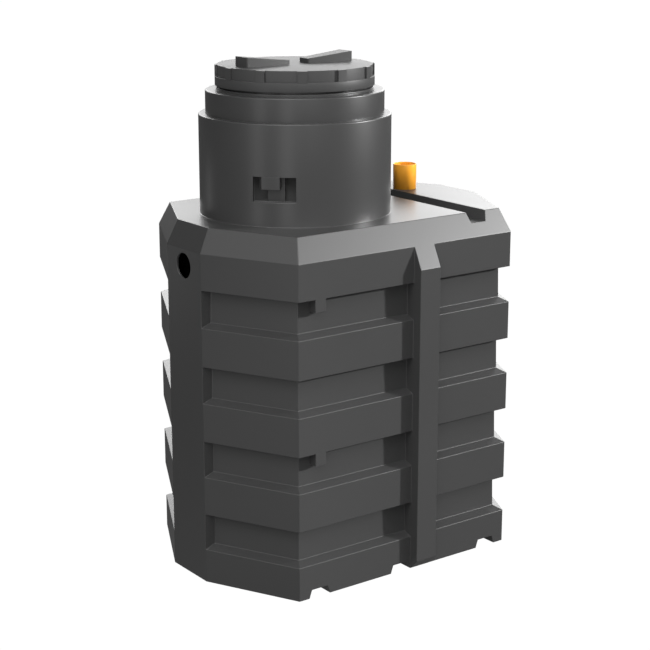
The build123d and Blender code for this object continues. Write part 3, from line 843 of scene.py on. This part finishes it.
@dataclass
class AccessShaft:
    """The round shaft with its collar, neck and rim."""

    centre: Point = (-0.205, 0.0)
    deck: float = 1.574
    radius: float = 0.420
    top: float = 2.006
    collar_radius: float = 0.389
    collar_top: float = 2.108
    neck_radius: float = 0.305
    neck_wall: float = 0.010
    rim_wall: float = 0.020
    rim_top: float = 2.2065
    wall: float = 0.010
    foot_ring: float = 0.003
    seat_radius: float = 0.341
    seat_height: float = 0.010
    fillet: float = 0.006
    ease: float = 0.002
    sill_edge: float = 0.0025
    window_start: float = 209.9
    window_end: float = 235.3
    window_steps: int = 13
    sill: float = 1.680
    head: float = 1.786

    def dressed(self, name: str, mesh: bmesh.types.BMesh, stands_for: tuple[str, ...]) -> Piece:
        """Give one mesh of the shaft its body, slot and finish.

        Args:
            name: The piece's name.
            mesh: The piece's mesh.
            stands_for: The nodes that it stands for.

        Returns:
            The piece.
        """
        return Piece(
            name, mesh, Body.TANK, Slot.SHAFT, SHAFT_PLASTIC, stands_for, smooth_angle=CREASE_ANGLE
        )

    def shaft(self) -> Piece:
        """Model the shaft's wall, its top ledge and the window through it.

        Returns:
            The piece.
        """
        inner = self.radius - self.wall
        ledge = self.collar_radius - self.wall
        foot = self.radius + self.foot_ring
        edge = (self.radius - self.fillet, self.top - self.fillet)
        below = [
            (inner, self.sill),
            (inner, self.deck),
            (foot, self.deck),
            *arc((foot, self.deck + self.foot_ring), self.foot_ring, 270, 180, FILLET_STEPS),
            (self.radius, self.sill - self.sill_edge),
        ]
        above = [
            (self.radius, self.head),
            *arc(edge, self.fillet, 0, 90, FILLET_STEPS),
            (ledge, self.top),
            (ledge, self.top - self.wall),
            (inner, self.top - self.wall),
            (inner, self.head),
        ]
        window = self.window_end - self.window_start
        closed_sweep = FULL_TURN - window
        steps = round(closed_sweep / (window / self.window_steps))
        mesh = bmesh.new()
        whole = [*below, (self.radius, self.sill), *above]
        spin_profile(mesh, whole, self.centre, self.window_end, closed_sweep, steps)
        eased = [*below, (self.radius - self.sill_edge, self.sill)]
        for part in (eased, above):
            spin_profile(mesh, part, self.centre, self.window_start, window, self.window_steps)
        bmesh.ops.remove_doubles(mesh, verts=mesh.verts[:], dist=MERGE_DISTANCE)
        fill_open_edges(mesh)
        bmesh.ops.recalc_face_normals(mesh, faces=mesh.faces[:])
        return self.dressed("shaft_moulding", mesh, ("shaft", "shaft_ledge"))

    def collar(self) -> Piece:
        """Model the narrower collar on the shaft.

        Returns:
            The piece.
        """
        inner = self.collar_radius - self.wall
        neck = self.neck_radius + self.neck_wall
        edge = (self.collar_radius - self.fillet, self.collar_top - self.fillet)
        profile = [
            (self.collar_radius, self.top),
            *arc(edge, self.fillet, 0, 90, FILLET_STEPS),
            (neck, self.collar_top),
            (neck, self.collar_top - self.wall),
            (inner, self.collar_top - self.wall),
            (inner, self.top),
        ]
        mesh = spun_ring(profile, self.centre)
        return self.dressed("shaft_collar", mesh, ("collar", "collar_ledge"))

    def neck(self) -> Piece:
        """Model the inner neck and the rim that carries the lid.

        Returns:
            The piece.
        """
        outer = self.neck_radius + self.neck_wall
        rim = self.neck_radius + self.rim_wall
        edge = self.rim_top - self.ease
        profile = [
            (outer, self.deck),
            (outer, self.collar_top),
            (rim, self.collar_top),
            *arc((rim - self.ease, edge), self.ease, 0, 90, EASE_STEPS),
            *arc((self.neck_radius + self.ease, edge), self.ease, 90, 180, EASE_STEPS),
            (self.neck_radius, self.deck),
        ]
        return self.dressed("neck_tube", spun_ring(profile, self.centre), ("neck", "neck_rim"))

    def seat(self) -> Piece:
        """Model the ring that stands under the lid's skirt.

        Returns:
            The piece.
        """
        inner = self.neck_radius + self.rim_wall
        top = self.collar_top + self.seat_height
        profile = [
            (self.seat_radius, self.collar_top),
            *arc((self.seat_radius - self.ease, top - self.ease), self.ease, 0, 90, EASE_STEPS),
            (inner, top),
            (inner, self.collar_top),
        ]
        return self.dressed("seat_ring", spun_ring(profile, self.centre), ("lid_seat",))

    def build(self) -> list[Piece]:
        """Model every fixed piece of the shaft."""
        return [self.shaft(), self.collar(), self.neck(), self.seat()]


@dataclass
class LockWindow:
    """The pocket behind the shaft's window, its hanging tab and the post in it."""

    centre: Point = (-0.205, 0.0)
    radius: float = 0.420
    wall: float = 0.010
    angle: float = 222.6
    width: float = 0.185
    sill: float = 1.680
    height: float = 0.106
    depth: float = 0.042
    pocket_wall: float = 0.004
    tab_left: float = -0.0545
    tab_right: float = 0.0245
    tab_drop: float = 0.053
    tab_thickness: float = 0.024
    tab_flare: float = 0.015
    tab_steps: int = 8
    tab_edge: float = 0.0015
    post_shift: float = 0.002
    post_width: float = 0.075
    post_depth: float = 0.016
    post_edge: float = 0.002

    def facing(self) -> Matrix:
        """Return the placement whose X runs across the window and Y into the shaft."""
        turn = Matrix.Rotation(math.radians(self.angle + 90.0), 4, "Z")
        return Matrix.Translation((*self.centre, 0.0)) @ turn

    def back(self) -> float:
        """Return how far the pocket's back wall stands from the shaft's axis."""
        return -self.face(self.width / 2) - self.depth

    def face(self, x: float) -> float:
        """Return where the shaft's skin lies at a place across the window."""
        return -math.sqrt(self.radius**2 - x**2)

    def pocket(self) -> Piece:
        """Model the pocket as an open box let into the shaft.

        Returns:
            The piece.
        """
        mesh = bmesh.new()
        half = self.width / 2
        front = math.sqrt((self.radius - self.wall) ** 2 - half**2)
        add_block(mesh, (-half, -front, self.sill), (half, -self.back(), self.sill + self.height))
        opening = min(mesh.faces, key=lambda f: f.calc_center_median().y)
        bmesh.ops.delete(mesh, geom=[opening], context="FACES_ONLY")
        bmesh.ops.recalc_face_normals(mesh, faces=mesh.faces[:])
        bmesh.ops.reverse_faces(mesh, faces=mesh.faces[:])
        bmesh.ops.transform(mesh, matrix=self.facing(), verts=mesh.verts[:])
        # The pocket gets the lighter lock plastic: painted light on its shaded walls.
        return Piece(
            "pocket_box", mesh, Body.TANK, Slot.LOCK, LOCK_PLASTIC_PAINTED_LIGHT, ("lock_pocket",),
            wall=self.pocket_wall,
        )

    def tab(self) -> Piece:
        """Model the hanging tab, with a left flank that leads out towards its back.

        Returns:
            The piece.
        """
        mesh = bmesh.new()
        head = self.sill + self.height
        back = self.tab_thickness + self.face(self.tab_left)
        run = (self.tab_left - self.tab_right) / self.tab_steps
        across = [self.tab_right + run * step for step in range(self.tab_steps + 1)]
        plan = [
            (self.tab_left - self.tab_flare, back),
            (self.tab_right, back),
            *((x, self.face(x)) for x in across),
        ]
        ring = wire_ring(mesh, [Vector((x, y, head - self.tab_drop)) for x, y in plan])
        lift_ring(mesh, ring, [Vector((x, y, head)) for x, y in plan])
        fill_open_edges(mesh)
        bmesh.ops.transform(mesh, matrix=self.facing(), verts=mesh.verts[:])
        bmesh.ops.recalc_face_normals(mesh, faces=mesh.faces[:])
        return Piece(
            "hanging_tab", mesh, Body.TANK, Slot.LOCK, SHAFT_PLASTIC, ("lock_tab",),
            edge=self.tab_edge, edge_angle=LOOSE_EDGE_ANGLE,
        )

    def post(self) -> Piece:
        """Model the post that stands in the pocket behind the tab.

        Returns:
            The piece.
        """
        mesh = bmesh.new()
        low = self.post_shift - self.post_width / 2
        add_block(
            mesh,
            (low, -self.back() - self.post_depth, self.sill),
            (low + self.post_width, -self.back(), self.sill + self.height),
        )
        bmesh.ops.transform(mesh, matrix=self.facing(), verts=mesh.verts[:])
        return Piece(
            "pocket_post", mesh, Body.TANK, Slot.LOCK, SHAFT_PLASTIC, ("lock_post",),
            edge=self.post_edge,
        )

    def build(self) -> list[Piece]:
        """Model every piece of the lock window."""
        return [self.pocket(), self.tab(), self.post()]


@dataclass
class Lid:
    """The round lid with its skirt, rim lugs and two wedge grips."""

    centre: Point = (-0.205, 0.0)
    bottom: float = 2.126
    top: float = 2.215
    radius: float = 0.346
    ring_height: float = 0.040
    panel_step: float = 0.009
    skirt_wall: float = 0.015
    plate: float = 0.008
    rim_fillet: float = 0.0015
    ring_ease: float = 0.002
    ring_ease_steps: int = 3
    lug_count: int = 12
    lug_width: float = 0.042
    lug_slope: float = 0.001
    lug_ease: float = 0.001
    lug_root: float = 0.001
    lug_steps: int = 4
    grip_inner: float = 0.048
    grip_outer: float = 0.277
    grip_inner_width: float = 0.068
    grip_outer_width: float = 0.093
    grip_inner_height: float = 0.020
    grip_outer_height: float = 0.0427
    grip_corner: float = 0.006
    grip_corner_steps: int = 6
    grip_root: float = 0.002
    grip_edge: float = 0.0025

    def shell(self) -> Piece:
        """Model the lid's plate and skirt as one spun moulding.

        Returns:
            The piece.
        """
        panel = self.radius - self.panel_step
        inner = self.radius - self.skirt_wall
        ledge = self.bottom + self.ring_height
        under = self.top - self.plate
        ease, fillet = self.ring_ease, self.rim_fillet
        profile = [
            (0.0, self.top),
            *arc((panel - fillet, self.top - fillet), fillet, 90, 0, FILLET_STEPS),
            (panel, ledge),
            *arc((self.radius - ease, ledge - ease), ease, 90, 0, self.ring_ease_steps),
            *arc((self.radius - ease, self.bottom + ease), ease, 0, -90, self.ring_ease_steps),
            (inner, self.bottom),
            (inner, under),
            (0.0, under),
        ]
        mesh = spun_ring(profile, self.centre, closed=False)
        return Piece(
            "lid_shell", mesh, Body.LID, Slot.LID, LID_PLASTIC, ("lid_plate", "lid_skirt"),
            smooth_angle=CREASE_ANGLE,
        )

    def lugs(self) -> Piece:
        """Model the lugs round the rim, each a short run of a thicker skirt.

        Returns:
            The piece.
        """
        mesh = bmesh.new()
        root = self.radius - self.panel_step - self.lug_root
        ledge = self.bottom + self.ring_height
        crest = self.top - self.lug_slope
        sweep = math.degrees(self.lug_width / self.radius)
        profile = [
            (root, ledge),
            (self.radius, ledge),
            (self.radius, crest - self.lug_ease),
            (self.radius - self.lug_ease, crest),
            (root, self.top),
        ]
        for number in range(self.lug_count):
            start = FULL_TURN / self.lug_count * number - sweep / 2
            spin_profile(mesh, profile, self.centre, start, sweep, self.lug_steps)
        fill_open_edges(mesh)
        clean(mesh, flat=0)
        return Piece(
            "rim_lugs", mesh, Body.LID, Slot.LID, LID_PLASTIC, ("lid_lugs",),
            smooth_angle=CREASE_ANGLE,
        )

    def wedge(self) -> bmesh.types.BMesh:
        """Model one grip on the side towards +X of the lid's middle, with its corners rounded.

        Returns:
            The grip's mesh, about the lid's axis.
        """
        mesh = bmesh.new()
        middle = (self.grip_inner + self.grip_outer) / 2
        low = (self.grip_inner, -self.grip_outer_width / 2, self.top - self.grip_root)
        high = (self.grip_outer, self.grip_outer_width / 2, self.top)
        for vert in add_block(mesh, low, high):
            outer = vert.co.x > middle
            width = self.grip_outer_width if outer else self.grip_inner_width
            rise = self.grip_outer_height if outer else self.grip_inner_height
            vert.co.y = math.copysign(width / 2, vert.co.y)
            if vert.co.z > self.top - self.grip_root / 2:
                vert.co.z = self.top + rise
        upright = [
            edge for edge in mesh.edges
            if (edge.verts[0].co.xy - edge.verts[1].co.xy).length < MERGE_DISTANCE
        ]
        bmesh.ops.bevel(
            mesh,
            geom=upright,
            offset=self.grip_corner,
            offset_type="OFFSET",
            segments=self.grip_corner_steps,
            profile=0.5,
            affect="EDGES",
            clamp_overlap=True,
            material=-1,
        )
        return mesh

    def grips(self) -> list[Piece]:
        """Model the two wedge grips, one turned half round from the other.

        Returns:
            One piece per grip.
        """
        pieces = []
        for heading, name in ((180.0, "front_grip"), (0.0, "rear_grip")):
            mesh = self.wedge()
            turn = Matrix.Rotation(math.radians(heading), 4, "Z")
            place = Matrix.Translation((*self.centre, 0.0)) @ turn
            bmesh.ops.transform(mesh, matrix=place, verts=mesh.verts[:])
            bmesh.ops.recalc_face_normals(mesh, faces=mesh.faces[:])
            pieces.append(
                Piece(
                    name + "_bar", mesh, Body.LID, Slot.LID, LID_PLASTIC, (name,),
                    edge=self.grip_edge, edge_angle=LOOSE_EDGE_ANGLE,
                )
            )
        return pieces

    def build(self) -> list[Piece]:
        """Model every piece of the lid."""
        return [self.shell(), self.lugs(), *self.grips()]


def direction(heading: float, height: float) -> Vector:
    """Point towards a place in the sky.

    Args:
        heading: The turn from +X towards +Y, in degrees.
        height: The rise above the horizon, in degrees.

    Returns:
        The unit vector.
    """
    turn, rise = math.radians(heading), math.radians(height)
    level = math.cos(rise)
    return Vector((math.cos(turn) * level, math.sin(turn) * level, math.sin(rise)))



@dataclass(frozen=True)
class Glow:
    """A soft patch of light in the surroundings: where it is, how wide and how strong."""

    heading: float
    height: float
    spread: float
    strength: float


@dataclass(frozen=True)
class FloorPatch:
    """A soft patch of light on the floor: where its middle is, how wide and how strong."""

    heading: float
    distance: float
    spread: float
    strength: float


@dataclass(frozen=True)
class Strip:
    """An upright soft light that faces the access shaft."""

    heading: float
    power: float
    width: float = 1.0
    tall: float = 3.2
    distance: float = 4.5
    level: float = 1.7


@dataclass
class Studio:
    """The camera at the photograph's angle, a pale floor and soft light."""

    camera_place: tuple[float, float, float] = (-4.224, -5.683, 2.882)
    camera_heading: float = 53.655
    camera_pitch: float = 14.77
    lens: float = 88.57
    key_heading: float = -35.6
    key_height: float = 15.6
    key_strength: float = 4.40
    key_softness: float = 3.0
    floor_half: float = 60.0
    seen_white: float = 1.02
    floor_glow: float = 0.109
    floor_patch: FloorPatch = FloorPatch(230.0, 4.0, 1.6, 0.817)
    shaft_centre: Point = (-0.205, 0.0)
    glows: tuple[Glow, ...] = (
        Glow(40.0, 6.0, 8.0, 2.20),
        Glow(44.0, 12.0, 6.0, 2.20),
        Glow(35.0, 18.0, 8.0, 5.06),
        Glow(65.0, 18.0, 8.0, 3.06),
        Glow(68.0, 18.0, 5.0, 5.20),
        Glow(80.0, 18.0, 8.0, 2.20),
        Glow(45.0, 32.0, 10.0, 1.81),
        Glow(322.0, 25.0, 9.0, 2.90),
        Glow(340.0, 25.0, 10.0, 2.90),
        Glow(198.0, 38.0, 20.0, 1.87),
        Glow(228.0, 60.0, 15.0, 5.37),
        Glow(250.0, 8.0, 16.0, 1.85),
    )
    strips: tuple[Strip, ...] = (
        Strip(226.0, 18.0),
        Strip(192.0, 14.0, width=0.8),
        Strip(114.0, 2.6, width=0.5, tall=1.0, level=0.5),
    )

    def camera(self) -> None:
        """Place the camera."""
        data = bpy.data.cameras.new("camera")
        data.lens = self.lens
        data.sensor_width = SENSOR_WIDTH
        data.clip_end = VIEW_REACH
        camera = add_to_scene("camera", data)
        camera.location = self.camera_place
        camera.rotation_euler = (
            math.radians(90.0 - self.camera_pitch),
            0.0,
            math.radians(self.camera_heading - 90.0),
        )
        bpy.context.scene.camera = camera

    def key(self) -> None:
        """Place the low key light on the right."""
        data = bpy.data.lights.new("key_light", "SUN")
        data.energy = self.key_strength
        data.angle = math.radians(self.key_softness)
        light = add_to_scene("key_light", data)
        towards = direction(self.key_heading, self.key_height)
        light.rotation_euler = towards.to_track_quat("Z", "Y").to_euler()

    def strip_lights(self) -> None:
        """Stand the strip lights round the shaft."""
        for number, strip in enumerate(self.strips):
            data = bpy.data.lights.new(f"strip_{number}", "AREA")
            data.shape = "RECTANGLE"
            data.size = strip.width
            data.size_y = strip.tall
            data.energy = strip.power
            light = add_to_scene(f"strip_{number}", data)
            outwards = direction(strip.heading, 0.0)
            foot = Vector((*self.shaft_centre, strip.level))
            light.location = foot + strip.distance * outwards
            light.rotation_euler = outwards.to_track_quat("Z", "Y").to_euler()
            light.visible_camera = False

    def floor(self) -> None:
        """Lay the pale floor."""
        mesh = bmesh.new()
        bmesh.ops.create_grid(mesh, x_segments=1, y_segments=1, size=self.floor_half)
        data = bpy.data.meshes.new("studio_floor")
        mesh.to_mesh(data)
        mesh.free()
        ground = add_to_scene("studio_floor", data)
        material = bpy.data.materials.new("floor_paper")
        material.use_nodes = True
        nodes = material.node_tree.nodes
        wiring = Wiring(material.node_tree)
        paper = nodes.new("ShaderNodeEmission")
        place = nodes.new("ShaderNodeTexCoord").outputs["Object"]
        patch = self.floor_patch
        away = wiring.compare("DISTANCE", place, patch.distance * direction(patch.heading, 0.0))
        square = wiring.maths("POWER", away, 2.0)
        fall = wiring.maths("MULTIPLY", square, -0.5 / patch.spread**2)
        bell = wiring.maths("EXPONENT", fall)
        lit = wiring.maths("MULTIPLY_ADD", bell, patch.strength, self.floor_glow)
        wiring.link(self.seen_or_lit(wiring, lit), paper.inputs["Strength"])
        wiring.link(paper.outputs["Emission"], nodes["Material Output"].inputs["Surface"])
        data.materials.append(material)

    def seen_or_lit(self, wiring: Wiring, lit: bpy.types.NodeSocket) -> bpy.types.NodeSocket:
        """Choose between the white that the camera sees and the light that the object gets.

        Args:
            wiring: The node tree to add to.
            lit: The strength of the light that the object gets.

        Returns:
            The socket with the chosen strength.
        """
        path = wiring.tree.nodes.new("ShaderNodeLightPath")
        choice = wiring.tree.nodes.new("ShaderNodeMix")
        choice.inputs["B"].default_value = self.seen_white
        wiring.link(path.outputs["Is Camera Ray"], choice.inputs["Factor"])
        wiring.link(lit, choice.inputs["A"])
        return choice.outputs["Result"]

    def surroundings(self) -> None:
        """Light the scene with the glows, on a white ground for the camera alone."""
        world = bpy.data.worlds.new("studio")
        bpy.context.scene.world = world
        world.use_nodes = True
        wiring = Wiring(world.node_tree)
        place = world.node_tree.nodes.new("ShaderNodeTexCoord").outputs["Generated"]
        total: bpy.types.NodeSocket | float = 0.0
        for glow in self.glows:
            facing = wiring.compare("DOT_PRODUCT", place, direction(glow.heading, glow.height))
            sharpness = 1.0 / math.radians(glow.spread) ** 2
            fall = wiring.maths("MULTIPLY_ADD", facing, sharpness, -sharpness)
            bell = wiring.maths("EXPONENT", fall)
            total = wiring.maths("MULTIPLY_ADD", bell, glow.strength, total)
        ground = world.node_tree.nodes["Background"]
        ground.inputs["Color"].default_value = (1.0, 1.0, 1.0, 1.0)
        wiring.link(self.seen_or_lit(wiring, total), ground.inputs["Strength"])

    def build(self) -> None:
        """Set up everything round the object."""
        bpy.context.scene.view_settings.view_transform = "Standard"
        self.camera()
        self.key()
        self.strip_lights()
        self.floor()
        self.surroundings()


def build_object() -> list[bpy.types.Object]:
    """Model, dress and place every piece of the tank.

    Returns:
        The placed objects.
    """
    makers: Iterable[Callable[[], Piece | list[Piece]]] = (
        TankShell().build,
        GrooveLugs().build,
        OutletPipe().build,
        AccessShaft().build,
        LockWindow().build,
        Lid().build,
    )
    placed = []
    for make in makers:
        made = make()
        for piece in made if isinstance(made, list) else [made]:
            placed.append(piece.place())
    return placed


def main() -> None:
    """Build the scene and note how many pieces were placed."""
    Studio().build()
    placed = build_object()
    LOG.info("%d pieces placed", len(placed))


if __name__ == "__main__":
    main()
